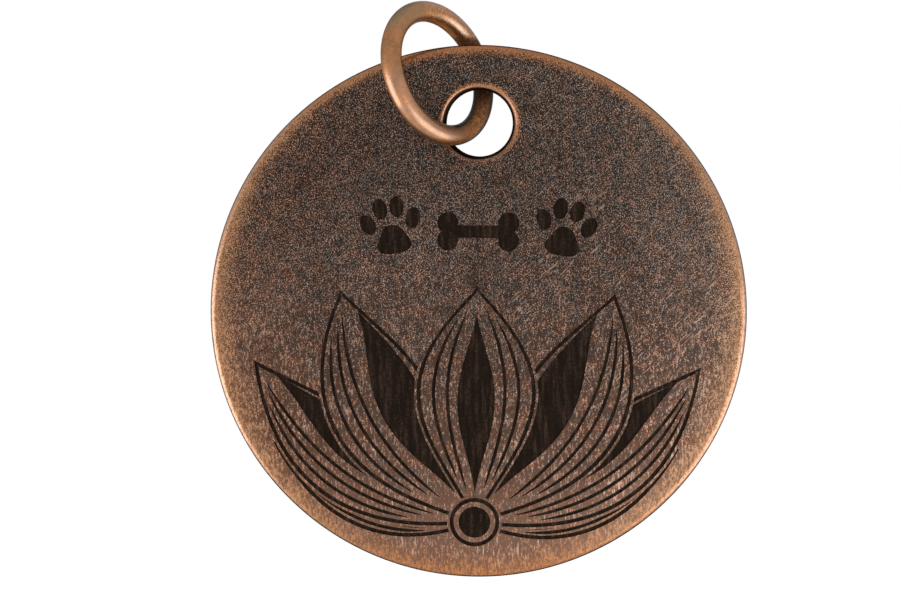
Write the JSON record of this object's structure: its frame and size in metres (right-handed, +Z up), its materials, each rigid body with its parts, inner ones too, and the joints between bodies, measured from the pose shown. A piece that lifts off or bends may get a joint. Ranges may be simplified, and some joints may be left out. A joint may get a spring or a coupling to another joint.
{
  "type": "pet id tag",
  "caption": "Round metal pet tag with rounded edges and a hole near its top edge, hanging from a plain wire ring that goes through the hole.",
  "frame": {"origin": "middle of the ring's eye, where the wire ring's own axis meets its plane", "axes": "+X to the right as the tag's face is seen, +Y from the tag's face to its back, +Z up, with the tag hanging below the ring"},
  "size_m": [0.032, 0.007, 0.0345],
  "materials": {
    "satin_copper": "satin copper wire",
    "antique_copper": "antiqued copper, dark patina rubbed bare at the edges"
  },
  "bodies": {
    "ring": {"jump_ring": "satin_copper"},
    "tag": {"tag_disc": "antique_copper"}
  },
  "joints": [
    {"name": "tag_swing", "type": "hinge", "parent": "ring", "child": "tag", "pos_m": [0.00242, 0.00085, -0.00153], "axis": [1, 0, 0], "range_deg": [-4, 90]}
  ]
}
